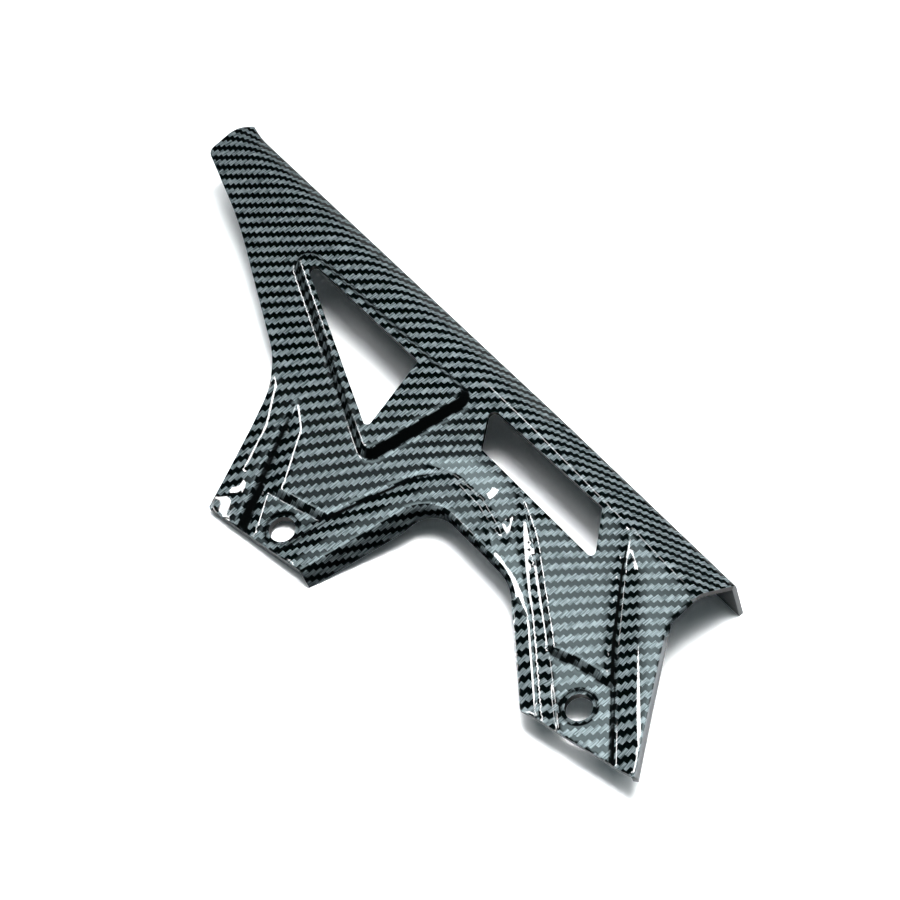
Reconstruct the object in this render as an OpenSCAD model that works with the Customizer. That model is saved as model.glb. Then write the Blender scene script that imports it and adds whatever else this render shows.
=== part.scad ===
// Motorcycle chain guard, moulded in one piece: a side panel with two bolted legs,
// a top strip that slopes off the panel and a lip that hangs from the strip.
//
// The guard is drawn in its panel frame and then laid down as it comes to rest.
// In the panel frame x runs along the lip from the narrow tip at -guard_l to the
// wide end at 0, y is 0 on the lip's outer face and falls towards the legs, and
// z is 0 on the panel's outer face.

/* [Overall] */
// Length along the top strip, tip to wide end
guard_l = 349; // [335:1:365]
// Wall thickness of the moulding
wall = 2.4; // [2:0.1:2.8]

/* [Top strip and lip] */
// How far the strip drops below the panel at the tip
tip_drop = 9; // [8:0.5:11]
// The same drop at the waist, over the arch
waist_drop = 12; // [10:0.5:14]
// The same drop at the wide end
end_drop = 18; // [16:0.5:19]
// Lower edge of the lip below the panel at the tip
tip_depth = 37; // [32:0.5:42]
// Lower edge of the lip below the panel at the wide end
end_depth = 45.5; // [41:0.5:50]
// How far the lip stands out at the tip
tip_lip_out = 1.5; // [0:0.25:2.5]
// How far the lip flares further out at the very tip
tip_flare = 2; // [1:0.25:3]
// Radius where panel and strip meet, from the tip to the waist
front_bend_r = 14; // [10:0.5:16]
// The same radius at the wide end
end_bend_r = 7; // [5:0.5:10]
// Radius where strip and lip meet
lip_corner_r = 4; // [3.2:0.1:5]

/* [Outline] */
// Width of the tip, lip face to free edge
tip_w = 23.5; // [21:0.5:27]
// Reach of the front foot's outer corner from the lip
front_reach = 144.5; // [138:0.5:150]
// Width of the front foot along the lip's direction
front_foot_w = 58; // [54:0.5:62]
// Reach of the rear foot's inner corner from the lip
rear_reach = 108.5; // [104:0.5:113]
// Width of the rear foot along the lip's direction
rear_foot_w = 59; // [55:0.5:63]
// Distance from the lip to the top of the arch
arch_y = 69.5; // [67:0.5:73]

/* [Raised frame and windows] */
// Height of the raised frame round the triangular window
frame_h = 5; // [3:0.25:6]
// How far the frame's sides lean in over their height
frame_lean = 2.6; // [2:0.1:3]
// Corner radius of the frame's foot line
frame_r = 6.75; // [5.5:0.25:8]
// Corner radius of the windows
window_r = 2; // [1:0.25:3]

/* [Feet and bolt holes] */
// How far the bolt pads lie below the panel
pad_drop = 3; // [2:0.25:3.5]
// Bolt hole diameter
bolt_hole_d = 12.5; // [10:0.5:13]
// Diameter of the shallow seat round each bolt hole
seat_d = 16.3; // [14.5:0.1:18]
// Depth of that seat
seat_drop = 0.8; // [0.4:0.1:1.2]
// Height of the boss under each bolt hole
boss_drop = 1.5; // [1:0.25:2.5]

/* [Edge flanges] */
// Depth of the flange at the front foot, which also reaches the ground
foot_flange = 10; // [8:0.5:12]
// Depth of the flange over the arch
arch_flange = 6; // [4:0.5:8]
// Depth of the flange on the rear leg's free edge
rear_flange = 5; // [4:0.5:8]

/* [Hidden] */

arc_steps = 8;
bend_steps = 6;
waist_x = -115;
far = 220;
above = 20;
below = 60;
past_end = 60;
edge_r = 1.5;
lap = 1;
tip_flare_l = 12;
arch_flare = 0.3;
rear_flare = 0.05;
side_y = tip_lip_out + tip_flare + lap;

// Outline of the panel and legs, as [x, y, corner radius], counter-clockwise
front_foot_x = -193;
rear_foot_x = -16;
function on_front(x, y) = [front_foot_x + x, y - front_reach];
function on_rear(x, y) = [rear_foot_x + x, y - rear_reach];
function to_tip(share, y) = [mix(front_foot_x, -guard_l, share), y];
function turned(p, r) = [p.x, p.y, r];
outline = [
    [-guard_l, side_y, 0],
    [-guard_l + 2, -tip_w, 5],
    turned(to_tip(0.71, -tip_w - 15), 250),
    turned(to_tip(0.2, -77.6), 50),
    turned(on_front(0, 0), edge_r),
    turned(on_front(front_foot_w, 9.5), edge_r),
    [-122, -arch_y, 17],
    [-66, -arch_y - 1.8, 30],
    turned(on_rear(0, 0), edge_r),
    turned(on_rear(rear_foot_w, 14.5), edge_r),
    [0, -35.5, 6],
    [0, side_y, 0],
];
FOOT_CORNER = 4;
ARCH_START = 5;
FREE_START = 9;
FREE_END = 10;

// Foot line of the raised frame, and the two windows
frame_foot = [[-156.5, -80.8, frame_r], [-144.5, -22.5, frame_r],
              [-guard_l + 58, -24.5, frame_r]];
tri_window = [[-167.5, -69, window_r], [-177, -29.5, window_r],
              [-guard_l + 85, -29.5, window_r + 0.5]];
side_window = [[-124, -38, window_r], [-45, -39.5, window_r],
               [-62, -19.5, window_r + 1], [-138, -20.5, window_r + 1]];

// Bolt holes and the pads that they go through
front_bolt = on_front(32.4, 17.8);
rear_bolt = on_rear(16.6, 18.8);
front_pad = [on_front(26, -11.5), on_front(40, -9.5), on_front(44.5, 35.5), on_front(9, 26)];
rear_pad = [on_rear(32, -5.5), on_rear(60, 0.5), on_rear(21, 36.5), on_rear(1, 32.5), on_rear(-15, 26.5)];
pad_lean = 0.6;
boss_w = 1.5;

// Grooves and falling edges that set off the ridges along the legs. Each is a list
// of [x, y, depth] along its bottom, and its run out on the +x and the -x side for
// each mm of depth. A depth below 0 lets the groove fade out.
grooves = [
    [[[-205, -82, -0.4], [-197.5, -94, 2.5], turned(on_front(26.5, -4.5), 5)], 2.2, 0.8],
    [[[-44, -20, -0.4], [-33, -33, 2.2], [-9, -59, 3.5], turned(on_rear(52, 7.5), 4.5)], 2.5, 0.5],
    [[[-92, -41, -0.4], [-73, -51.5, 1.4], [-32, -79, 2.4], turned(on_rear(24, 1.5), 3)], 0.8, 2.4],
    [[[-126, -56, -0.4], [-134, -67, 1.2], [-147.5, -109, 2], turned(on_front(40.5, -1.5), 2.5)], 2, 0.7],
    [[turned(to_tip(0.37, -64), -0.3), turned(to_tip(0.22, -84), 3), turned(to_tip(0.14, -107), 4),
      turned(on_front(-5, -5.5), 4.5)], 3.2, 0.5],
    [[[-82, -68, -0.3], [-68, -74.5, 1.5], [-50, -85.5, 3.2], turned(on_rear(-2, -2), 3.5)], 2.6, 0.5],
    [[[-136, -60, -0.4], [-122, -53.5, 1], [-104, -53, 1.4], [-88, -57, 1.2], [-78, -62, -0.4]], 5.5, 2.5],
];

function unit(v) = v / norm(v);
function left(v) = [-v.y, v.x];
function flat(p) = [p.x, p.y];
function mix(a, b, t) = a + (b - a) * t;

// Points of one rounded corner p between its neighbours a and b
function corner_arc(a, p, b, r, n) = r <= 0 ? [p] : let(
    u = unit(a - p), v = unit(b - p), half = acos(u * v) / 2,
    c = p + unit(u + v) * r / sin(half),
    s = p + u * r / tan(half) - c, e = p + v * r / tan(half) - c,
    a0 = atan2(s.y, s.x), turn = (atan2(e.y, e.x) - a0 + 540) % 360 - 180)
    [for (i = [0:n]) c + r * [cos(a0 + turn * i / n), sin(a0 + turn * i / n)]];

// The rounded corner i of a closed list of [x, y, radius]
function corner(list, i, n = arc_steps) = let(k = len(list)) corner_arc(
    flat(list[(i + k - 1) % k]), flat(list[i]), flat(list[(i + 1) % k]), list[i].z, n);
function rounded(list) = [for (i = [0:len(list) - 1]) each corner(list, i)];

// A closed counter-clockwise list moved inwards by d, its radii cut by as much
function moved_in(list, d) = let(k = len(list)) [for (i = [0:k - 1]) let(
    p = flat(list[i]),
    n1 = left(unit(p - flat(list[(i + k - 1) % k]))),
    n2 = left(unit(flat(list[(i + 1) % k]) - p)),
    q = p + d * (n1 + n2) / (1 + n1 * n2))
    [q.x, q.y, len(list[i]) > 2 ? max(list[i].z - d, 0.5) : 0]];

function at_height(points, z) = [for (p = points) [p.x, p.y, z]];

// Solid through a row of closed rings that have the same number of points
module loft(rings) {
    n = len(rings[0]);
    last = len(rings) - 1;
    polyhedron(
        points = [for (ring = rings) each ring],
        faces = [
            [for (j = [0:n - 1]) j],
            [for (j = [n - 1:-1:0]) last * n + j],
            for (i = [0:last - 1], j = [0:n - 1])
                let(a = i * n + j, b = i * n + (j + 1) % n)
                each [[a, a + n, b], [b, a + n, b + n]],
        ]);
}

// Top strip: [x, drop, lip face, lip depth, bend radius] along the guard
function station(x, drop, flare, bend) = let(t = -x / guard_l)
    [x, drop, tip_lip_out * t + flare, mix(end_depth, tip_depth, t), bend];
stations = [
    station(-guard_l, tip_drop, tip_flare, front_bend_r),
    station(-guard_l + tip_flare_l, mix(tip_drop, waist_drop, tip_flare_l / (guard_l + waist_x)),
            0, front_bend_r),
    station(waist_x, waist_drop, 0, front_bend_r),
    station(0, end_drop, 0, end_bend_r),
];
tip = stations[0];
end = stations[len(stations) - 1];

// Cross-section of all that lies under the outer face, moved in by inset.
// The strip falls at 45 degrees, so its ends move by tan(22.5) of the inset.
function cover_ring(x, s, inset) = let(
    t = tan(22.5) * inset,
    lip = s[2],
    strip_top = [lip - s[1] - t, -inset],
    strip_foot = [lip - inset, -s[1] - t],
    ground = -s[3] - (inset > 0 ? lap : 0),
    nose = corner_arc([lip - inset, ground], strip_foot, strip_top,
                      lip_corner_r - inset, bend_steps / 2),
    bend = corner_arc(strip_foot, strip_top, [-far, -inset], s[4] - inset, bend_steps))
    [for (p = concat([[lip - inset, ground]], nose, bend, [[-far, -inset], [-far, ground]]))
        [x, p.x, p.y]];

module cover(inset) loft(concat(
    [cover_ring(-guard_l - past_end, tip, inset)],
    [for (s = stations) cover_ring(s[0], s, inset)],
    [cover_ring(past_end, end, inset)]));

module raised_frame(inset) {
    foot = moved_in(frame_foot, inset / 2 - frame_lean * lap / frame_h);
    loft([
        at_height(rounded(foot), -lap - inset),
        at_height(rounded(moved_in(foot, frame_lean * (1 + lap / frame_h))), frame_h - inset),
    ]);
}

module bolt_pad(corners, inset) {
    foot = moved_in(corners, -inset / 2);
    loft([
        at_height(moved_in(foot, pad_lean * pad_drop), -pad_drop - inset),
        at_height(moved_in(foot, -pad_lean * lap), lap - inset),
    ]);
}

// One stretch of a groove, wider by grow on both sides
function groove_ring(p, across, plus, minus, grow, inset) = let(
    rise = p.z + lap, q = flat(p), a = q + across * (plus * rise + grow),
    b = q - across * (minus * rise + grow))
    [[a.x, a.y, lap - inset], [b.x, b.y, lap - inset],
     [q.x - across.x * grow, q.y - across.y * grow, -p.z - inset],
     [q.x + across.x * grow, q.y + across.y * grow, -p.z - inset]];

module groove(g, inset) {
    path = g[0];
    across = left(unit(flat(path[len(path) - 1]) - flat(path[0])));
    loft([for (p = path) groove_ring(p, across, g[1], g[2], 0.1 + inset / 2, inset)]);
}

// All that lies under the guard's outer face
module form(inset) {
    difference() {
        union() {
            cover(inset);
            raised_frame(inset);
        }
        for (g = grooves) groove(g, inset);
        bolt_pad(front_pad, inset);
        bolt_pad(rear_pad, inset);
    }
}

module upright(points) translate([0, 0, -below]) linear_extrude(below + above) polygon(points);

// Flange along an edge: each stop is [x, y, depth, top, flare], depth and top below the
// panel's plane, and it flares outwards by flare for each mm that it falls
function flange_ring(stops, i) = let(
    k = len(stops) - 1, p = stops[i],
    along = unit(flat(stops[min(i + 1, k)]) - flat(stops[max(i - 1, 0)])),
    out = -left(along), foot = flat(p) + out * p[4] * (p[2] - p[3]),
    inner = foot - out * wall, root = flat(p) - out * wall)
    [[p.x, p.y, -p[3]], [foot.x, foot.y, -p[2]], [inner.x, inner.y, -p[2]],
     [root.x, root.y, -p[3] - wall / 2]];

module flange(stops) loft([for (i = [0:len(stops) - 1]) flange_ring(stops, i)]);

// Stops along a row of points whose depth, top and flare ease from one value to the next
function eased(points, from, to) = let(k = len(points) - 1)
    [for (i = [0:k]) concat(points[i], mix(from, to, i / k))];

// The arch flange runs from the front foot over the arch and fades at the rear leg
arch_stops = concat(
    eased([flat(outline[ARCH_START]), each corner(outline, ARCH_START + 1)],
          [foot_flange, 0, arch_flare], [arch_flange, 0, arch_flare / 2]),
    eased(corner(outline, ARCH_START + 2), [arch_flange, 0, 0], [arch_flange * 0.7, 1, 0]));
// The rear flange runs up the rear leg's free edge and onto the wide end
rear_stops = concat(
    [[outline[FREE_START].x, outline[FREE_START].y, rear_flange, 0, rear_flare]],
    eased(corner(outline, FREE_END), [rear_flange, 0, rear_flare], [rear_flange / 2, 0, rear_flare]),
    [[0, -end_drop, rear_flange / 2, 0, rear_flare]]);

module moulding() {
    difference() {
        union() {
            intersection() {
                upright(rounded(outline));
                difference() {
                    form(0);
                    form(wall);
                }
            }
            flange(arch_stops);
            flange(rear_stops);
            for (b = [front_bolt, rear_bolt])
                translate([b.x, b.y, -pad_drop - wall - boss_drop])
                    cylinder(d = seat_d + 2 * boss_w, h = boss_drop + wall / 2, $fn = 64);
        }
        upright(rounded(tri_window));
        upright(rounded(side_window));
        for (b = [front_bolt, rear_bolt]) translate(b) {
            translate([0, 0, -below]) cylinder(d = bolt_hole_d, h = below + above, $fn = 64);
            translate([0, 0, -pad_drop - seat_drop]) cylinder(d = seat_d, h = above, $fn = 64);
        }
    }
}

// At rest the guard lies on its lip's lower edge and on the front foot's flange. The
// flare at the very tip stands clear of the ground.
rest_end = [0, -wall, -end_depth];
rest_tip = [-guard_l, tip_lip_out - wall, -tip_depth];
rest_foot = flange_ring(arch_stops, 0)[1];
rest_n = unit(cross(rest_foot - rest_tip, rest_end - rest_tip));
rest_rx = atan2(rest_n.y, rest_n.z);
rest_ry = -atan2(rest_n.x, norm([rest_n.y, rest_n.z]));

function turned_x(p) = [p.x, p.y * cos(rest_rx) - p.z * sin(rest_rx),
                        p.y * sin(rest_rx) + p.z * cos(rest_rx)];
function turned_y(p) = [p.x * cos(rest_ry) + p.z * sin(rest_ry), p.y,
                        p.z * cos(rest_ry) - p.x * sin(rest_ry)];
function laid(p) = turned_y(turned_x(p));

// The points that reach furthest each way put the origin under the guard's middle
low_x = laid([-guard_l, tip[2] - tip_drop, 0]).x;
high_x = laid(flange_ring(rear_stops, 0)[1]).x;
low_y = min([for (p = at_height(corner(outline, FOOT_CORNER), 0)) laid(p).y]);
high_y = max(laid([0, 0, -end_depth]).y, laid([-guard_l, tip[2], -tip_depth]).y);
middle = [(low_x + high_x) / 2, (low_y + high_y) / 2, laid(rest_end).z];

module chain_guard() {
    color("dimgray") translate(-middle) rotate([rest_rx, rest_ry, 0]) moulding();
}

chain_guard();
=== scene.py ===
import math

import bpy
import numpy as np
from mathutils import Matrix, Vector
from mathutils.geometry import delaunay_2d_cdt
from mathutils.kdtree import KDTree


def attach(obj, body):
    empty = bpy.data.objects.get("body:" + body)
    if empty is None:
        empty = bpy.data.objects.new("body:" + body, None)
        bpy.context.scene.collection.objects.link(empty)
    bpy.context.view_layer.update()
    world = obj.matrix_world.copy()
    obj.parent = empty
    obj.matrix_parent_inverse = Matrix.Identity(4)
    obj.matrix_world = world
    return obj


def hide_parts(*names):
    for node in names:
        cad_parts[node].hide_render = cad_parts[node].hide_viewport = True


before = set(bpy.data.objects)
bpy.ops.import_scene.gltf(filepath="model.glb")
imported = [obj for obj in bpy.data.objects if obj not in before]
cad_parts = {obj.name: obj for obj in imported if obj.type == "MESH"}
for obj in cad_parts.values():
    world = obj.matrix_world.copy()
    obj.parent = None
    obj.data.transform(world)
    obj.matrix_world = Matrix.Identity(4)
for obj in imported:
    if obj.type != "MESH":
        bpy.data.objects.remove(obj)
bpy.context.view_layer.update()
bpy.ops.object.select_all(action="DESELECT")

# The guard's sizes in millimetres, in its panel frame: x runs from the tip at -GUARD_L to the
# wide end at 0, y falls from the lip's face towards the feet, z is 0 on the panel's outer face.
GUARD_L = 349
WALL = 2.4
TIP_DROP, WAIST_DROP, END_DROP = 9, 12, 18
TIP_DEPTH, END_DEPTH = 37, 45.5
TIP_LIP_OUT, TIP_FLARE, TIP_FLARE_L = 1.5, 2, 12
FRONT_BEND_R, END_BEND_R = 14, 7
LIP_CORNER_R = 4
WAIST_X = -115
HALF_BEND = math.tan(math.radians(22.5))
FRAME_H, FRAME_LEAN, FRAME_R, FRAME_SOFT = 5, 2.6, 6.75, 0.12
WINDOW_R = 2
PAD_DROP, PAD_LEAN, PAD_SOFT = 3, 0.6, 0.8
PAD_WALL_SOFT, PAD_EASE, PAD_NEAR, PAD_STEP_LEAST = 0.15, 0.1, 2, 0.6
HOLE_R, SEAT_R, SEAT_DROP, SEAT_WALL = 6.25, 8.15, 0.8, 0.25
BOSS_W, BOSS_DROP, BOSS_WALL = 1.5, 1.5, 0.4
FOOT_FLANGE, ARCH_FLANGE, REAR_FLANGE = 10, 6, 5
ARCH_FLARE, REAR_FLARE = 0.3, 0.05
ARCH_ROLL, REAR_ROLL = 2.4, 1.2
# The rows of a flange: its roll goes from 0 to 1 and its straight part from 1 to 2.
ROLL_ROWS = (0.2, 0.4, 0.6, 0.8, 1, 1.25, 1.5, 1.75, 2)
# A groove's soft floor, how far it is carried past its ends, where before its far end it widens,
# and the weights that ease its path and depth.
GROOVE_FLOOR, GROOVE_LEAD, GROOVE_WIDENS = 0.25, 12, (25, 13)
GROOVE_EASE = np.hanning(9) / np.hanning(9).sum()
# A depth and a distance that stand for no groove and no fold nearby.
NO_GROOVE, NO_FOLD = -5, 9
# The inner face is softer than the outer one by so many rounds of easing.
INNER_ROUNDS = 4
# How wide the folds are and how deep the painted shade is on them and on the flanges, and how
# far a wall leans, towards the wide end, when it gets painted shade as a steep wall.
FOLD_W, SEAT_FOLD, FOLD_SHADE, FLANGE_SHADE = 0.5, 0.7, 0.85, 0.5
SHADE_STEEP_FROM, SHADE_STEEP_FADE, SHADE_SIDE = 0.95, 0.2, 0.3
# Tow widths of film across its whole layout.
UV_SPAN = 100

# Closed shapes, as corners (x, y, radius).
OUTLINE = [
    (-GUARD_L, 0, 0), (-GUARD_L + 2, -23.5, 5), (-303.8, -38.5, 250), (-224.2, -77.6, 50),
    (-193, -144.1, 1.5), (-135, -135, 1.5), (-122, -69.5, 17), (-66, -71.3, 30),
    (-16, -108.5, 1.5), (42.9, -94, 1.5), (0, -35.5, 6), (0, 0, 0),
]
FRAME_FOOT = [(-156.5, -80.8, FRAME_R), (-144.5, -22.5, FRAME_R), (-291, -24.5, FRAME_R)]
TRI_WINDOW = [(-167.5, -69, WINDOW_R), (-177, -29.5, WINDOW_R), (-264, -29.5, WINDOW_R + 0.5)]
SIDE_WINDOW = [(-124, -38, WINDOW_R), (-45, -39.5, WINDOW_R),
               (-62, -19.5, WINDOW_R + 1), (-138, -20.5, WINDOW_R + 1)]
FRONT_BOLT, REAR_BOLT = (-160.6, -126.7), (0.6, -89.7)
FRONT_PAD = [(-167, -156), (-153, -154), (-148.5, -109), (-184, -118.5)]
REAR_PAD = [(16, -114), (44, -108), (5, -72), (-15, -76), (-31, -82)]
# Each groove: its bottom as (x, y, depth); its run out per mm of depth on the left of the path,
# before and at its far end; the same on the right; and how soft its shoulders are.
GROOVES = [
    ([(-205, -82, -0.4), (-197.5, -94, 2.5), (-166.5, -149, 5)], (2.2, 2.2), 0.8, 0.9),
    ([(-44, -20, -0.4), (-33, -33, 2.2), (-9, -59, 3.5), (36, -101, 4.5)],
     (2.5, 2.5), 0.5, 1.6),
    ([(-92, -41, -0.4), (-73, -51.5, 1.4), (-32, -79, 2.4), (8, -107, 3)],
     (0.8, 0.8), 2.4, 1.0),
    ([(-126, -56, -0.4), (-134, -67, 1.2), (-147.5, -109, 2), (-152.5, -146, 2.5)],
     (2, 2), 0.7, 0.9),
    ([(-241, -74, -0.3), (-226, -88, 2.2), (-217, -107, 3.8), (-207.5, -127, 3.8),
      (-200.5, -140, 2.2), (-195, -150, 2.2)],
     (3.2, 6.2), 0.5, 0.9),
    ([(-82, -68, -0.3), (-68, -74.5, 1.5), (-50, -85.5, 3.2), (-18, -110.5, 3.5)],
     (2.6, 2.6), 0.5, 1.6),
    ([(-136, -60, -0.4), (-122, -53.5, 1), (-104, -53, 1.4), (-88, -57, 1.2), (-78, -62, -0.4)],
     (5.5, 5.5), 2.5, 0.6),
]
# Where the mesh keeps lines: across a groove in shares of its walls, round the frame and the
# pads in mm from their edges.
GROOVE_LINES = (-1.3, -1, -0.5, 0, 0.15, 0.5, 1, 1.15)
FRAME_LINES = (-0.7, 0, FRAME_LEAN / 2, FRAME_LEAN, FRAME_LEAN + 0.7)
PAD_LINES = (-1.4, -PAD_SOFT, 0.5, PAD_DROP * PAD_LEAN, PAD_DROP * PAD_LEAN + 0.6)
SEAT_LINES = (SEAT_R - 0.3, SEAT_R, SEAT_R + BOSS_W - 0.4, SEAT_R + BOSS_W)
NOSE_LINES = 4
# The mesh's fineness: the grid's pitch and how clear it stays of lines, in pitches; the step
# along lines and how far they stay inside; the steps round corners and circles.
GRID, GRID_CLEAR = 1.3, 0.62
LINE_STEP, LINE_CLEAR = 1.1, 0.5
ARC_STEPS, CIRCLE_STEPS = 10, 48
SAME_POINT = 1e-5
# A rim face this near a hole's edge belongs to the hole.
RIM_NEAR = 0.6
# The rims' rounding in metres, and the angles in degrees that it and the shading start from.
RIM_BEVEL, BEVEL_ANGLE, SMOOTH_ANGLE = 0.0004, 55, 38


# ---------------------------------------------------------------- plan shapes
def unit(v):
    return v / np.linalg.norm(v)


def rounded(corners):
    """A closed run of points round the corners, each with its own radius."""
    run = []
    count = len(corners)
    for i, (x, y, r) in enumerate(corners):
        p = np.array((x, y), float)
        a = np.array(corners[i - 1][:2], float)
        b = np.array(corners[(i + 1) % count][:2], float)
        if r <= 0:
            run.append(p)
            continue
        u, v = unit(a - p), unit(b - p)
        half = math.acos(float(u @ v)) / 2
        centre = p + unit(u + v) * r / math.sin(half)
        s = p + u * r / math.tan(half) - centre
        e = p + v * r / math.tan(half) - centre
        a0 = math.atan2(s[1], s[0])
        turn = (math.atan2(e[1], e[0]) - a0 + 3 * math.pi) % (2 * math.pi) - math.pi
        for k in range(ARC_STEPS + 1):
            t = a0 + turn * k / ARC_STEPS
            run.append(centre + r * np.array((math.cos(t), math.sin(t))))
    return np.array(run)


def moved_in(corners, d):
    """The corners of a counter-clockwise shape moved inwards by d, radii cut by as much."""
    moved = []
    count = len(corners)
    for i, (x, y, r) in enumerate(corners):
        p = np.array((x, y), float)
        u = unit(p - np.array(corners[i - 1][:2], float))
        v = unit(np.array(corners[(i + 1) % count][:2], float) - p)
        n1, n2 = np.array((-u[1], u[0])), np.array((-v[1], v[0]))
        q = p + d * (n1 + n2) / (1 + n1 @ n2)
        moved.append((q[0], q[1], max(r - d, 0.4)))
    return moved


def resampled(points, closed=False):
    """The same run with its points about LINE_STEP apart, its sharp corners kept."""
    pts = [np.array(p, float) for p in points]
    if closed:
        pts.append(pts[0])
    out = [pts[0]]
    for a, b in zip(pts[:-1], pts[1:]):
        n = max(1, int(round(np.linalg.norm(b - a) / LINE_STEP)))
        for k in range(1, n + 1):
            out.append(a + (b - a) * k / n)
    if closed:
        out.pop()
    return np.array(out)


def circle(centre, r):
    t = np.arange(CIRCLE_STEPS) * 2 * math.pi / CIRCLE_STEPS
    return np.column_stack([centre[0] + r * np.cos(t), centre[1] + r * np.sin(t)])


def inside(points, ring):
    """Which points lie inside the closed ring."""
    x, y = points[:, 0], points[:, 1]
    result = np.zeros(len(points), bool)
    for (x1, y1), (x2, y2) in zip(ring, np.roll(ring, -1, axis=0)):
        if y1 == y2:
            continue
        crosses = (y1 > y) != (y2 > y)
        result ^= crosses & (x < (x2 - x1) * (y - y1) / (y2 - y1) + x1)
    return result


def depth_inside(points, ring):
    """Distance from the ring, more than 0 inside it."""
    best = np.full(len(points), np.inf)
    for a, b in zip(ring, np.roll(ring, -1, axis=0)):
        ab = b - a
        t = np.clip(((points - a) @ ab) / (ab @ ab), 0, 1)
        d = np.linalg.norm(points - a - t[:, None] * ab, axis=1)
        best = np.minimum(best, d)
    return np.where(inside(points, ring), best, -best)


# ---------------------------------------------------------------- the outer face
def stations(x):
    """Drop, lip face, lip depth and bend radius of the top strip at x."""
    xs = (-GUARD_L, WAIST_X, 0)
    share = -WAIST_X / GUARD_L
    drop = np.interp(x, xs, (TIP_DROP, WAIST_DROP, END_DROP))
    flare = np.clip((-GUARD_L + TIP_FLARE_L - x) / TIP_FLARE_L, 0, 1)
    lip = np.interp(x, xs, (TIP_LIP_OUT, TIP_LIP_OUT * share, 0)) + TIP_FLARE * flare ** 1.5
    depth = np.interp(x, xs, (TIP_DEPTH, END_DEPTH + (TIP_DEPTH - END_DEPTH) * share, END_DEPTH))
    bend = np.interp(x, xs, (FRONT_BEND_R, FRONT_BEND_R, END_BEND_R))
    return drop, lip, depth, bend


def strip_marks(x):
    """Where, along the face's unrolled width, the bend, strip, nose and lip begin and end."""
    drop, lip, depth, bend = stations(x)
    start = lip - drop - bend * HALF_BEND
    strip = start + bend * math.pi / 4
    nose = strip + drop * math.sqrt(2) - (bend + LIP_CORNER_R) * HALF_BEND
    lip_top = nose + LIP_CORNER_R * math.pi / 4
    lip_end = lip_top + depth - drop - LIP_CORNER_R * HALF_BEND
    return start, strip, nose, lip_top, lip_end


def cover(x, s):
    """The plain face at unrolled width s: y, z, and how far the face has turned down."""
    bend = stations(x)[3]
    start, strip, nose, lip_top, _ = strip_marks(x)
    half = math.sqrt(0.5)
    turn = np.clip((s - start) / bend, 0, math.pi / 4)
    y = np.minimum(s, start) + bend * np.sin(turn)
    z = -bend * (1 - np.cos(turn))
    run = np.clip(s - strip, 0, nose - strip)
    y, z = y + run * half, z - run * half
    turn2 = np.clip((s - nose) / LIP_CORNER_R, 0, math.pi / 4)
    y = y + LIP_CORNER_R * (np.sin(math.pi / 4 + turn2) - half)
    z = z - LIP_CORNER_R * (half - np.cos(math.pi / 4 + turn2))
    z = z - np.clip(s - lip_top, 0, None)
    return y, z, turn + turn2


def softened(values, by):
    """Values below 0 fade to 0 without a kink."""
    return (values + np.sqrt(values ** 2 + by ** 2)) / 2


def ramp(values, by):
    """From 0 to 1 over the values 0 to 1, with rounded ends."""
    return softened(values, by) - softened(values - 1, by)


def groove_axes(path):
    """A groove's start, its direction, the direction to its left, and its stops along it."""
    first, last = np.array(path[0][:2], float), np.array(path[-1][:2], float)
    along = unit(last - first)
    across = np.array((-along[1], along[0]))
    at = [float((np.array(p[:2]) - first) @ along) for p in path]
    return first, along, across, at


def eased_along(values):
    """Values at every mm of a groove, each blended with its neighbours."""
    return np.convolve(np.pad(values, len(GROOVE_EASE) // 2, "edge"), GROOVE_EASE, "valid")


def groove_depth(points, groove):
    """Depth of a groove with soft shoulders, its path and its depth eased along the way."""
    path, plus, minus, shoulder = groove
    first, along, across, at = groove_axes(path)
    side = [float((np.array(p[:2]) - first) @ across) for p in path]
    stops = np.arange(-GROOVE_LEAD, at[-1] + GROOVE_LEAD, 1.0)
    fade = (path[1][2] - path[0][2]) / (at[1] - at[0])
    deep = np.interp(stops, at, [p[2] for p in path]) + np.minimum(stops, 0) * fade
    if path[-1][2] < 0:
        deep += np.minimum(at[-1] - stops, 0) * (path[-2][2] - path[-1][2]) / (at[-1] - at[-2])
    deep = eased_along(deep)
    bends = eased_along(np.interp(stops, at, side))
    a = (points - first) @ along
    u = (points - first) @ across - np.interp(a, stops, bends)
    plus = np.interp(a, [at[-1] - back for back in GROOVE_WIDENS], plus)
    wall = np.where(u > 0, u / plus, -u / minus)
    depth = np.interp(a, stops, deep) - np.sqrt(wall ** 2 + GROOVE_FLOOR ** 2) + GROOVE_FLOOR
    return softened(np.where(a < -GROOVE_LEAD, NO_GROOVE, depth), shoulder)


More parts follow.
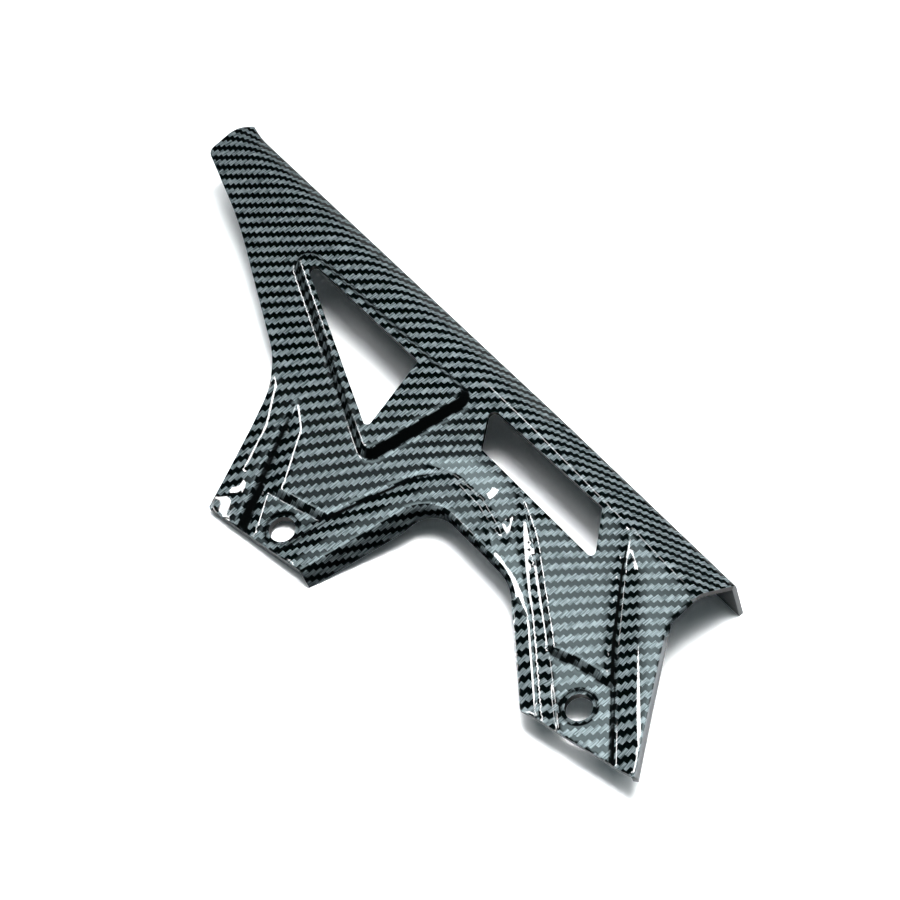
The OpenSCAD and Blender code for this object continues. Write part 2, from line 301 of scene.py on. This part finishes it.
def height(points):
    """Height over the plain face, and how close each point lies to a sharp fold.

    The soft ridges that the grooves leave carry the raised frame, the pads and their seats."""
    h = -np.max([groove_depth(points, groove) for groove in GROOVES], axis=0)
    into = depth_inside(points, rounded(FRAME_FOOT))
    h = h + FRAME_H * ramp(into / FRAME_LEAN, FRAME_SOFT)
    folds = [into, into - FRAME_LEAN]
    for pad in (FRONT_PAD, REAR_PAD):
        into = depth_inside(points, np.array(pad, float)) + PAD_SOFT
        run = PAD_DROP * PAD_LEAN + PAD_SOFT
        wall = -PAD_DROP * ramp(into / run, PAD_WALL_SOFT)
        steps = h - wall > PAD_STEP_LEAST
        folds += [np.where(steps, into + FOLD_W, NO_FOLD), np.where(steps, into - run, NO_FOLD)]
        lower = (h + wall - np.sqrt((h - wall) ** 2 + PAD_EASE ** 2)) / 2 + PAD_EASE / 2
        h = np.where(into > -PAD_NEAR, lower, h)
    for bolt in (FRONT_BOLT, REAR_BOLT):
        r = np.linalg.norm(points - np.array(bolt, float), axis=1)
        seat = -PAD_DROP - SEAT_DROP * np.clip((SEAT_R - r) / SEAT_WALL, 0, 1)
        h = np.where(r < SEAT_R, np.minimum(h, seat), h)
        folds.append((r - SEAT_R + FOLD_W) * SEAT_FOLD)
    return h, np.max(np.exp(-(np.array(folds) / FOLD_W) ** 2), axis=0)


# ---------------------------------------------------------------- the sheet
class Plan:
    """Points of the unrolled plan, the lines that the mesh keeps, and the faces' places."""

    def __init__(self):
        self.points, self.lines, self.rolled = [], [], {}

    def add(self, run, closed=False, rolled=None):
        """Adds a run of points and its lines; gives the points' numbers."""
        first = len(self.points)
        for i, p in enumerate(run):
            if rolled is not None:
                self.rolled[first + i] = [part[i] for part in rolled]
            self.points.append((float(p[0]), float(p[1])))
        self.lines += [(first + i, first + i + 1) for i in range(len(run) - 1)]
        if closed:
            self.lines.append((first + len(run) - 1, first))
        return list(range(first, first + len(run)))

    def join(self, order):
        """Adds the lines between neighbours of a closed row of point numbers."""
        self.lines += [(a, b) for a, b in zip(order, order[1:] + order[:1]) if a != b]

    def ring(self, order):
        return np.array([self.points[i] for i in order])


def outward(edge):
    """Directions square to an edge, away from the guard."""
    along = np.gradient(edge, axis=0)
    along /= np.linalg.norm(along, axis=1)[:, None]
    return np.column_stack([along[:, 1], -along[:, 0]])


def rolled_edge(plan, edge, depths, flare, roll, bare):
    """Adds the rows of a flange that rolls off the edge; gives their point numbers."""
    out = outward(edge)
    steep = math.pi / 2 - np.arctan(flare)
    root = edge - out * (roll * np.tan(steep / 2))[:, None]
    base = height(root)[0]
    rows = [plan.add(root)]
    for d in ROLL_ROWS:
        turn = steep * min(d, 1)
        f, g, length = roll * np.sin(turn), roll * (1 - np.cos(turn)), roll * turn
        if d > 1:
            straight = np.clip(depths - g, 0.1, None) * (d - 1) / np.sin(steep)
            f = f + straight * np.cos(steep)
            g = g + straight * np.sin(steep)
            length = length + straight
        place = np.column_stack([root + out * f[:, None], -g])
        level = np.cos(turn) * min(1, 2 - d)
        normal = np.column_stack([out * np.sqrt(1 - level ** 2)[:, None], level])
        rows.append(plan.add(root + out * length[:, None], rolled=(place, normal, base, bare)))
    return rows


def flange_side(rows):
    """A flange's outer border, from its root's first point over its end to the root's last."""
    return [r[0] for r in rows] + rows[-1][1:-1] + [r[-1] for r in rows[::-1]]


def add_line(plan, run, core, closed=False):
    """Keeps the stretches of a feature line that lie well inside the core."""
    run = resampled(run, closed)
    if closed:
        run = np.vstack([run, run[:1]])
    stretch = []
    for p, deep in zip(run, depth_inside(run, core)):
        if deep > LINE_CLEAR:
            stretch.append(p)
            continue
        if len(stretch) > 1:
            plan.add(stretch)
        stretch = []
    if len(stretch) > 1:
        plan.add(stretch)


def corner_arc(i):
    """The rounded corner i of the outline."""
    before, after = OUTLINE[i - 1], OUTLINE[(i + 1) % len(OUTLINE)]
    return rounded([before[:2] + (0,), OUTLINE[i], after[:2] + (0,)])[1:-1]


def eased(run, stops):
    """Values that go evenly from stop to stop, each stop (share of the length, value)."""
    steps = np.linalg.norm(np.diff(run, axis=0), axis=1)
    at = np.concatenate([[0], np.cumsum(steps)]) / steps.sum()
    return np.interp(at, [p for p, _ in stops], [v for _, v in stops])


def add_outline(plan):
    """Adds the outline and its two flanges; gives the outer ring and the ring without them."""
    wide = strip_marks(0.0)
    left = np.vstack([corner_arc(i) for i in (1, 2, 3, 4)])
    xs = np.linspace(0, -GUARD_L, int(GUARD_L / GRID))
    top = np.column_stack([xs, strip_marks(xs)[4]])
    arch = np.vstack([[OUTLINE[5][:2]], corner_arc(6), corner_arc(7)])
    arch = resampled(arch)
    arch_depth = eased(arch, [(0, FOOT_FLANGE), (0.38, FOOT_FLANGE), (0.6, ARCH_FLANGE),
                              (0.85, ARCH_FLANGE), (1, ARCH_FLANGE * 0.6)])
    arch_flare = eased(arch, [(0, ARCH_FLARE), (0.38, ARCH_FLARE), (0.55, ARCH_FLARE / 2),
                              (0.8, 0)])
    free = np.vstack([[OUTLINE[9][:2]], corner_arc(10), [(0, wide[0] - 2)]])
    free = resampled(free)
    free_depth = eased(free, [(0, REAR_FLANGE), (0.75, REAR_FLANGE * 0.6), (1, 2)])
    free_flare = np.full(len(free), REAR_FLARE)
    free_bare = eased(free, [(0, 1), (0.72, 1), (0.78, 0), (1, 0)])
    arch_rows = rolled_edge(plan, arch, arch_depth, arch_flare, ARCH_ROLL, np.zeros(len(arch)))
    free_rows = rolled_edge(plan, free, free_depth, free_flare, REAR_ROLL, free_bare)
    left_ids = plan.add(resampled(left))
    leg = np.vstack([arch[-1:], corner_arc(8), [plan.points[free_rows[0][0]]]])
    foot_ids = plan.add(resampled(leg)[1:-1])
    end_ids = plan.add(resampled([(0, wide[0] + 0.5), (0, wide[4])]))
    top_ids = plan.add(top[1:])
    tip_ids = plan.add(resampled([top[-1], left[0]])[1:-1])
    rest = end_ids + top_ids + tip_ids
    outer = left_ids + flange_side(arch_rows) + foot_ids + flange_side(free_rows) + rest
    core = left_ids + arch_rows[0] + foot_ids + free_rows[0] + rest
    plan.join(outer)
    return plan.ring(outer), plan.ring(core)


def add_features(plan, core):
    """Adds the lines of the bolt seats, the frame, the pads, the grooves and the nose."""
    for bolt in (FRONT_BOLT, REAR_BOLT):
        for r in SEAT_LINES:
            plan.add(circle(bolt, r), closed=True)
    for d in FRAME_LINES:
        add_line(plan, rounded(moved_in(FRAME_FOOT, d)), core, closed=True)
    for pad in (FRONT_PAD, REAR_PAD):
        corners = [p + (0,) for p in pad]
        for d in PAD_LINES:
            add_line(plan, [c[:2] for c in moved_in(corners, d)], core, closed=True)
    for path, (plus, _), minus, _ in GROOVES:
        first, along, across, at = groove_axes(path)
        middle = resampled([p[:2] for p in path])
        deep = np.interp((middle - first) @ along, at, [max(p[2], 0.02) for p in path])
        for share in GROOVE_LINES:
            reach = (plus if share > 0 else minus) * deep * share
            add_line(plan, middle + across * reach[:, None], core)
    xs = np.linspace(-0.8, 0.8 - GUARD_L, int(GUARD_L / LINE_STEP))
    marks = strip_marks(xs)
    for k in range(NOSE_LINES + 1):
        plan.add(np.column_stack([xs, marks[2] + (marks[3] - marks[2]) * k / NOSE_LINES]))


def add_grid(plan, core, holes):
    """Fills the core with an even grid of points, clear of the lines."""
    pitch = GRID * math.sqrt(3) / 2
    low, high = core.min(axis=0), core.max(axis=0)
    grid = [(x + (j % 2) * GRID / 2, low[1] + j * pitch)
            for j in range(int((high[1] - low[1]) / pitch) + 1)
            for x in np.arange(low[0], high[0], GRID)]
    grid = np.array(grid)
    grid = grid[inside(grid, core)]
    for hole in holes:
        grid = grid[~inside(grid, hole)]
    tree = KDTree(len(plan.points))
    for i, p in enumerate(plan.points):
        tree.insert((p[0], p[1], 0), i)
    tree.balance()
    plan.points += [(float(p[0]), float(p[1])) for p in grid
                    if tree.find((p[0], p[1], 0))[2] > GRID_CLEAR * GRID]


def sheet_plan():
    """The plan with its outer ring and the rings of its windows and holes."""
    plan = Plan()
    outer, core = add_outline(plan)
    holes = [resampled(rounded(TRI_WINDOW), closed=True),
             resampled(rounded(SIDE_WINDOW), closed=True),
             circle(FRONT_BOLT, HOLE_R), circle(REAR_BOLT, HOLE_R)]
    for hole in holes:
        plan.add(hole, closed=True)
    add_features(plan, core)
    add_grid(plan, core, holes)
    return plan, outer, holes


def triangulated(plan, outer, holes):
    """The sheet's points and triangles, and the plan's points that each point stands for."""
    found = delaunay_2d_cdt([Vector(p) for p in plan.points], plan.lines, [], 0, SAME_POINT)
    flat = np.array([tuple(v) for v in found[0]])
    tris = np.array(found[2])
    centres = flat[tris].mean(axis=1)
    keep = inside(centres, outer)
    for hole in holes:
        keep &= ~inside(centres, hole)
    tris = tris[keep]
    used = np.unique(tris)
    renumber = np.full(len(flat), -1)
    renumber[used] = np.arange(len(used))
    flat, tris, sources = flat[used], renumber[tris], [found[3][i] for i in used]
    area = np.cross(flat[tris[:, 1]] - flat[tris[:, 0]], flat[tris[:, 2]] - flat[tris[:, 0]])
    return flat, np.where((area < 0)[:, None], tris[:, ::-1], tris), sources


def smoothed(values, edges):
    """Values eased towards the mean of their neighbours along the mesh's edges."""
    near = np.zeros(len(values))
    np.add.at(near, edges[:, 0], 1)
    np.add.at(near, edges[:, 1], 1)
    for _ in range(INNER_ROUNDS):
        total = np.zeros(len(values))
        np.add.at(total, edges[:, 0], values[edges[:, 1]])
        np.add.at(total, edges[:, 1], values[edges[:, 0]])
        values = values + 0.5 * (total / np.maximum(near, 1) - values)
    return values


def raised(places, rise):
    return places + np.column_stack([np.zeros((len(rise), 2)), rise])


def vertex_normals(places, tris):
    """The mesh's own normals, weighted by the triangles' areas."""
    corner = places[tris[:, 0]]
    face = np.cross(places[tris[:, 1]] - corner, places[tris[:, 2]] - corner)
    total = np.zeros((len(places), 3))
    for k in range(3):
        np.add.at(total, tris[:, k], face)
    return total / np.linalg.norm(total, axis=1)[:, None]


def both_faces(plan, flat, tris, sources):
    """Places of both faces, the bare film, and painted shade on steep walls, flanges and folds.
    """
    count = len(flat)
    y, z, turn = cover(flat[:, 0], flat[:, 1])
    place = np.column_stack([flat[:, 0], y, z])
    normal = np.column_stack([np.zeros(count), np.sin(turn), np.cos(turn)])
    rise, fold = height(flat)
    bare, flange = np.zeros(count), np.zeros(count, bool)
    for i, source in enumerate(sources):
        rolled = next((plan.rolled[k] for k in source if k in plan.rolled), None)
        if rolled is not None:
            place[i], normal[i], rise[i], bare[i] = rolled
            flange[i] = True
    fold[flange] = 0
    edges = np.vstack([tris[:, [0, 1]], tris[:, [1, 2]], tris[:, [2, 0]]])
    inner_rise = smoothed(rise, np.unique(np.sort(edges, axis=1), axis=0))
    boss = np.zeros(count)
    for bolt in (FRONT_BOLT, REAR_BOLT):
        r = np.linalg.norm(flat - np.array(bolt), axis=1)
        boss = np.maximum(boss, BOSS_DROP * np.clip((SEAT_R + BOSS_W - r) / BOSS_WALL, 0, 1))
    outside = raised(place, rise)
    within = raised(place - WALL * normal, inner_rise - boss)
    facing = vertex_normals(outside, tris)
    # Painted shade: darker film on steep walls that face the wide end, on flanges and at folds.
    steep = np.clip((SHADE_STEEP_FROM - (facing * normal).sum(axis=1)) / SHADE_STEEP_FADE, 0, 1)
    steep *= np.clip(facing[:, 0] / SHADE_SIDE, 0, 1)
    steep[flange] = FLANGE_SHADE
    steep[bare > 0] = 0
    return outside, within, bare, np.maximum(steep, FOLD_SHADE * fold)


def at_rest():
    """Turns and shift that lay the panel frame down as the guard rests on the ground."""
    edge = np.array([OUTLINE[5][:2], corner_arc(6)[0]], float)
    foot = edge[0] + outward(edge)[0] * ARCH_FLARE * FOOT_FLANGE
    foot = np.array((foot[0], foot[1], -FOOT_FLANGE))
    end = np.array((0, -WALL, -END_DEPTH))
    tip = np.array((-GUARD_L, TIP_LIP_OUT - WALL, -TIP_DEPTH))
    n = unit(np.cross(foot - tip, end - tip))
    rx, ry = math.atan2(n[1], n[2]), -math.atan2(n[0], math.hypot(n[1], n[2]))
    turn_x = np.array(((1, 0, 0), (0, math.cos(rx), -math.sin(rx)),
                       (0, math.sin(rx), math.cos(rx))))
    turn_y = np.array(((math.cos(ry), 0, math.sin(ry)), (0, 1, 0),
                       (-math.sin(ry), 0, math.cos(ry))))
    turn = turn_y @ turn_x
    free = np.array([OUTLINE[9][:2], corner_arc(10)[0]], float)
    far = free[0] + outward(free)[0] * REAR_FLARE * REAR_FLANGE
    low_x = (turn @ (-GUARD_L, TIP_LIP_OUT + TIP_FLARE - TIP_DROP, 0))[0]
    high_x = (turn @ (far[0], far[1], -REAR_FLANGE))[0]
    low_y = min((turn @ (p[0], p[1], 0))[1] for p in corner_arc(4))
    high_y = max((turn @ (0, 0, -END_DEPTH))[1],
                 (turn @ (-GUARD_L, TIP_LIP_OUT + TIP_FLARE, -TIP_DEPTH))[1])
    return turn, np.array(((low_x + high_x) / 2, (low_y + high_y) / 2, (turn @ end)[2]))


def tows_counted(widths, at, where):
    """How many tows of the given widths lie between the first place and each place asked."""
    steps = (1 / widths[1:] + 1 / widths[:-1]) / 2 * np.diff(at)
    return np.interp(where, at, np.concatenate([[0], np.cumsum(steps)]))


def film_laid(flat):
    """The print's own coordinates, in tow widths: it stretches over the tip and the feet."""
    xs, ys = np.linspace(-GUARD_L - 10, 60, 200), np.linspace(-160, 70, 200)
    # Tow widths in mm along x and y, for the twill's teeth and for its stripes.
    tooth_x = np.interp(xs, (-349, -290, -220), (1.55, 1.85, 2.15))
    tooth_y = np.interp(ys, (-95, -55), (2.5, 2.15))
    stripe_x = np.interp(xs, (-349, -200), (2.05, 1.92))
    stripe_y = np.interp(ys, (-80, -45, 0), (2.55, 1.95, 1.85))
    x, y = flat[:, 0], flat[:, 1]
    tooth = (tows_counted(tooth_x, xs, x) + tows_counted(tooth_y, ys, y)) / 2
    stripe = (tows_counted(stripe_x, xs, x) - tows_counted(stripe_y, ys, y)) / 2
    return np.column_stack([tooth + stripe, tooth - stripe])


FILM, GREY_RIM, BLACK_RIM, INNER_FACE = range(4)


def make_guard():
    """The guard's wall: a printed outer face, a plain inner face and the rims between."""
    plan, outer, holes = sheet_plan()
    flat, tris, sources = triangulated(plan, outer, holes)
    outside, within, bare, steep = both_faces(plan, flat, tris, sources)
    count, walls = len(flat), 2 * len(tris)
    edges = np.vstack([tris[:, [0, 1]], tris[:, [1, 2]], tris[:, [2, 0]]])
    rim = edges[~np.isin(edges @ (count, 1), edges @ (1, count))]
    faces = [tuple(t) for t in tris]
    faces += [(t[0] + count, t[2] + count, t[1] + count) for t in tris]
    faces += [(b, a, a + count, b + count) for a, b in rim]
    turn, shift = at_rest()
    verts = (np.vstack([outside, within]) @ turn.T - shift) / 1000
    verts[:, 2] = np.maximum(verts[:, 2], 0)
    mesh = bpy.data.meshes.new("chain_guard_wall")
    mesh.from_pydata(verts.tolist(), [], [tuple(int(i) for i in f) for f in faces])

    finish = np.full(len(faces), FILM)
    finish[len(tris):walls] = INNER_FACE
    finish[walls:] = GREY_RIM
    middles = flat[rim].mean(axis=1)
    marks = strip_marks(0.0)
    strip_end = (middles[:, 0] > -0.5) & (middles[:, 1] > marks[0] - 3)
    strip_end &= middles[:, 1] < marks[2]
    finish[walls:][strip_end] = BLACK_RIM
    for hole in holes:
        finish[walls:][np.abs(depth_inside(middles, hole)) < RIM_NEAR] = BLACK_RIM
    mesh.polygons.foreach_set("material_index", finish)

    numbers = np.zeros(len(mesh.loops), int)
    mesh.loops.foreach_get("vertex_index", numbers)
    film = film_laid(flat)
    uv = np.vstack([film, film])[numbers] / UV_SPAN
    mesh.uv_layers.new(name="film").data.foreach_set("uv", uv.ravel())
    # The steep attribute carries the painted shade; bare marks the unprinted rows.
    for name, values in (("bare", bare), ("steep", steep)):
        layer = mesh.attributes.new(name, "FLOAT", "POINT")
        layer.data.foreach_set("value", np.concatenate([values, values]))
    mesh.validate()
    mesh.update()
    shell = bpy.data.objects.new("guard_shell", mesh)
    bpy.context.scene.collection.objects.link(shell)
    return shell


guard = make_guard()
bpy.context.view_layer.objects.active = guard
guard.select_set(True)
rim_bevel = guard.modifiers.new("rim", "BEVEL")
rim_bevel.width = RIM_BEVEL
rim_bevel.segments = 2
rim_bevel.limit_method = "ANGLE"
rim_bevel.angle_limit = math.radians(BEVEL_ANGLE)
rim_bevel.use_clamp_overlap = True
bpy.ops.object.modifier_apply(modifier="rim")
bpy.ops.object.shade_smooth_by_angle(angle=math.radians(SMOOTH_ANGLE))

# ---------------------------------------------------------------- finishes
FILM_DARK = (0.0002, 0.001, 0.001, 1)
FILM_LOW, FILM_HIGH = (0.032, 0.043, 0.046, 1), (0.16, 0.193, 0.203, 1)
# The near-black of the painted shade on steep walls, flanges and folds.
FILM_SHADE = (0.0013, 0.0017, 0.0017, 1)
FILM_BARE = (0.14, 0.15, 0.157, 1)
FIBRE_FROM, FIBRE_TO = 0.36, 0.64
FIBRE_ACROSS, FIBRE_ALONG = 3.6, 0.35
TWILL_REPEAT, TWILL_LIGHT = 4.0, 1.5
COAT_FADE = 4.0
GREY_RIM_COLOUR, BLACK_RIM_COLOUR = (0.24, 0.253, 0.26, 1), (0.0027, 0.0033, 0.0037, 1)
INNER_FACE_COLOUR = (0.15, 0.16, 0.167, 1)
FLOOR_LIT, FLOOR_SEEN = (0.3, 0.3, 0.3, 1), (1.1, 1.11, 1.12, 1)


def feed(links, socket, value):
    """Links a socket's value on, or sets a plain one."""
    if isinstance(value, bpy.types.NodeSocket):
        links.new(value, socket)
    else:
        socket.default_value = value


def mix(nodes, links, factor, a, b):
    node = nodes.new("ShaderNodeMix")
    node.data_type = "RGBA"
    for socket, value in ((node.inputs[0], factor), (node.inputs[6], a), (node.inputs[7], b)):
        feed(links, socket, value)
    return node.outputs[2]


def maths(nodes, links, operation, *values):
    node = nodes.new("ShaderNodeMath")
    node.operation = operation
    for socket, value in zip(node.inputs, values):
        feed(links, socket, value)
    return node.outputs[0]


def attribute(nodes, name):
    node = nodes.new("ShaderNodeAttribute")
    node.attribute_name = name
    return node.outputs["Fac"]


def plain(name, colour, roughness):
    material = bpy.data.materials.new(name)
    material.use_nodes = True
    shader = material.node_tree.nodes["Principled BSDF"]
    shader.inputs["Base Color"].default_value = colour
    shader.inputs["Roughness"].default_value = roughness
    return material


def pale_floor():
    """A pale matt floor that the camera sees as white, with the guard's shadow on it."""
    material = bpy.data.materials.new("pale_floor")
    material.use_nodes = True
    nodes, links = material.node_tree.nodes, material.node_tree.links
    nodes.remove(nodes["Principled BSDF"])
    lit, seen = nodes.new("ShaderNodeBsdfDiffuse"), nodes.new("ShaderNodeBsdfDiffuse")
    lit.inputs["Color"].default_value = FLOOR_LIT
    seen.inputs["Color"].default_value = FLOOR_SEEN
    ray = nodes.new("ShaderNodeLightPath")
    both = nodes.new("ShaderNodeMixShader")
    links.new(ray.outputs["Is Camera Ray"], both.inputs[0])
    links.new(lit.outputs[0], both.inputs[1])
    links.new(seen.outputs[0], both.inputs[2])
    links.new(both.outputs[0], nodes["Material Output"].inputs["Surface"])
    return material


def twill_film():
    """Printed carbon twill under clear coat, laid out on the unrolled film coordinates.

    Painted shade darkens the film and the coat fades on steep walls, flanges and folds, and the
    rear flange is bare."""
    material = bpy.data.materials.new("carbon_twill_film")
    material.use_nodes = True
    nodes, links = material.node_tree.nodes, material.node_tree.links
    shader = nodes["Principled BSDF"]

    def m(operation, *values):
        return maths(nodes, links, operation, *values)

    uv = nodes.new("ShaderNodeUVMap")
    uv.uv_map = "film"
    parts = nodes.new("ShaderNodeSeparateXYZ")
    links.new(uv.outputs["UV"], parts.inputs[0])
    u = m("MULTIPLY", parts.outputs["X"], UV_SPAN)
    v = m("MULTIPLY", parts.outputs["Y"], UV_SPAN)
    steps = m("SUBTRACT", m("FLOOR", u), m("FLOOR", v))
    light = m("LESS_THAN", m("FLOORED_MODULO", steps, TWILL_REPEAT), TWILL_LIGHT)
    stretch = nodes.new("ShaderNodeCombineXYZ")
    links.new(m("MULTIPLY", u, FIBRE_ACROSS), stretch.inputs[0])
    links.new(m("MULTIPLY", v, FIBRE_ALONG), stretch.inputs[1])
    fibre = nodes.new("ShaderNodeTexNoise")
    fibre.inputs["Scale"].default_value = 1
    fibre.inputs["Detail"].default_value = 1
    links.new(stretch.outputs[0], fibre.inputs["Vector"])
    grey = nodes.new("ShaderNodeValToRGB")
    low, high = grey.color_ramp.elements
    low.position, low.color = FIBRE_FROM, FILM_LOW
    high.position, high.color = FIBRE_TO, FILM_HIGH
    links.new(fibre.outputs["Fac"], grey.inputs["Fac"])
    steep, bare = attribute(nodes, "steep"), attribute(nodes, "bare")
    colour = mix(nodes, links, light, FILM_DARK, grey.outputs["Color"])
    # Painted shade: the steep attribute darkens the film on steep walls, flanges and folds.
    colour = mix(nodes, links, steep, colour, FILM_SHADE)
    colour = mix(nodes, links, bare, colour, FILM_BARE)
    links.new(colour, shader.inputs["Base Color"])
    shader.inputs["Roughness"].default_value = 0.5
    shader.inputs["Specular IOR Level"].default_value = 0
    faded = m("MINIMUM", m("MULTIPLY", steep, COAT_FADE), 1.0)
    links.new(m("SUBTRACT", 1.0, faded), shader.inputs["Coat Weight"])
    shader.inputs["Coat Roughness"].default_value = 0.03
    return material


# In the order of FILM, GREY_RIM, BLACK_RIM and INNER_FACE.
guard.data.materials.append(twill_film())
guard.data.materials.append(plain("grey_rim", GREY_RIM_COLOUR, 0.45))
guard.data.materials.append(plain("black_rim", BLACK_RIM_COLOUR, 0.3))
guard.data.materials.append(plain("inner_face", INNER_FACE_COLOUR, 0.5))
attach(guard, "root")
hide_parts("chain_guard")

# ---------------------------------------------------------------- floor, lights, camera
FLOOR_W = 40
MAIN_FROM, MAIN_LEVEL, MAIN_ANGLE = (-0.16, 0.13, 1), 0.78, 64
NEAR_PLACE, NEAR_W, NEAR_LEVEL, NEAR_SPREAD = (0.26, 0.16, 1.4), 0.8, 0.21, 30
GLINT_FAR = 6
# Each strip light: from one direction to another, its width and its brightness.
GLINTS = {
    "arch_light": ((-0.485, -0.315, 0.816), (-0.55, -0.27, 0.79), 0.13, 40),
    "crest_light": ((-0.638, -0.272, 0.720), (-0.608, -0.302, 0.734), 0.12, 38),
    "crest_strip": ((-0.608, -0.302, 0.734), (-0.578, -0.337, 0.743), 0.035, 30),
    "ridge_light": ((-0.650, -0.150, 0.745), (-0.632, -0.178, 0.754), 0.07, 38),
    "front_strip": ((-0.655, -0.17, 0.736), (-0.75, -0.12, 0.65), 0.05, 28),
    "crease_strip": ((-0.50, 0.32, 0.80), (-0.40, 0.34, 0.85), 0.03, 25),
    "corner_light": ((-0.24, 0.26, 0.93), (-0.14, 0.34, 0.93), 0.12, 30),
}
# Each soft box: its direction, where it starts and ends to fade, in degrees, and its strength.
SOFT_BOX = ((-0.33, -0.33, 0.88), 6, 22, 6)
GLOW_BOX = ((-0.42, -0.08, 0.90), 2, 7, 2.4)
STUDIO_DARK = 0.02
SKY_LEVEL, SKY_COLOUR = 0.15, (0.76, 0.96, 1, 1)
AZIMUTH, ELEVATION = math.radians(50.75), math.radians(53)
TARGET, DISTANCE = Vector((0.0018, 0.0313, 0.0004)), 1.4
LENS, SENSOR = 121.86, 36

bpy.ops.mesh.primitive_plane_add(size=FLOOR_W, location=(0, 0, 0))
floor = bpy.context.object
floor.name = "floor"
floor.data.materials.append(pale_floor())
bpy.ops.object.select_all(action="DESELECT")


def lamp(name, kind, away):
    """A studio lamp that shines from a direction."""
    holder = bpy.data.objects.new(name, bpy.data.lights.new(name, kind))
    bpy.context.scene.collection.objects.link(holder)
    holder.rotation_euler = Vector(away).to_track_quat("Z", "Y").to_euler()
    return holder


def glint(name, start, end, width, brightness):
    """A strip light that only the clear coat mirrors, from one direction to another."""
    start, end = Vector(start).normalized(), Vector(end).normalized()
    middle = (start + end).normalized()
    length = start.angle(end) * GLINT_FAR
    strip = lamp(name, "AREA", middle)
    strip.data.shape = "RECTANGLE"
    strip.data.size, strip.data.size_y = length, width * GLINT_FAR
    strip.data.energy = brightness * math.pi * length * width * GLINT_FAR
    strip.location = middle * GLINT_FAR
    along = (end - start).normalized()
    across = middle.cross(along)
    strip.rotation_euler = Matrix((along, across, middle)).transposed().to_euler()
    strip.visible_diffuse = False


main_lamp = lamp("main_lamp", "SUN", MAIN_FROM)
main_lamp.data.energy = MAIN_LEVEL * math.pi
main_lamp.data.angle = math.radians(MAIN_ANGLE)
main_lamp.visible_glossy = False
near_lamp = lamp("near_lamp", "AREA", (0, 0, 1))
near_lamp.data.shape = "RECTANGLE"
near_lamp.data.size = near_lamp.data.size_y = NEAR_W
near_lamp.data.energy = NEAR_LEVEL * math.pi ** 2 * NEAR_PLACE[2] ** 2
near_lamp.data.spread = math.radians(NEAR_SPREAD)
near_lamp.location = NEAR_PLACE
near_lamp.visible_glossy = False
for glint_name, strip_light in GLINTS.items():
    glint(glint_name, *strip_light)

world = bpy.data.worlds.new("studio")
bpy.context.scene.world = world
world.use_nodes = True
sky_nodes, sky_links = world.node_tree.nodes, world.node_tree.links
sky = sky_nodes["Background"]
ray_kind = sky_nodes.new("ShaderNodeLightPath")
toward = sky_nodes.new("ShaderNodeTexCoord")


def soft_box(centre, inner, outer, strength):
    """Brightness of a big soft panel of the studio, seen in that direction."""
    aim = sky_nodes.new("ShaderNodeVectorMath")
    aim.operation = "DOT_PRODUCT"
    sky_links.new(toward.outputs["Generated"], aim.inputs[0])
    aim.inputs[1].default_value = Vector(centre).normalized()
    fade = sky_nodes.new("ShaderNodeMapRange")
    fade.interpolation_type = "SMOOTHSTEP"
    fade.inputs["From Min"].default_value = math.cos(math.radians(outer))
    fade.inputs["From Max"].default_value = math.cos(math.radians(inner))
    fade.inputs["To Max"].default_value = strength
    sky_links.new(aim.outputs["Value"], fade.inputs["Value"])
    return fade.outputs["Result"]


def by_ray(kind, otherwise, value):
    """One level for a kind of ray and another for the rest."""
    node = sky_nodes.new("ShaderNodeMix")
    sky_links.new(ray_kind.outputs[kind], node.inputs["Factor"])
    feed(sky_links, node.inputs["A"], otherwise)
    feed(sky_links, node.inputs["B"], value)
    return node.outputs["Result"]


boxes = maths(sky_nodes, sky_links, "ADD", soft_box(*SOFT_BOX), soft_box(*GLOW_BOX))
mirrored = maths(sky_nodes, sky_links, "ADD", boxes, STUDIO_DARK)
sky.inputs["Color"].default_value = SKY_COLOUR
sky_links.new(by_ray("Is Camera Ray", by_ray("Is Glossy Ray", SKY_LEVEL, mirrored), 1),
              sky.inputs["Strength"])

bpy.ops.object.camera_add()
camera = bpy.context.object
camera.name = "photo_camera"
back = Vector((math.sin(AZIMUTH) * math.cos(ELEVATION), -math.cos(AZIMUTH) * math.cos(ELEVATION),
               math.sin(ELEVATION)))
camera.location = TARGET + back * DISTANCE
camera.rotation_euler = (math.pi / 2 - ELEVATION, 0, AZIMUTH)
camera.data.lens = LENS
camera.data.sensor_width = SENSOR
camera.data.clip_end = 50
bpy.context.scene.camera = camera
bpy.context.scene.view_settings.view_transform = "Standard"
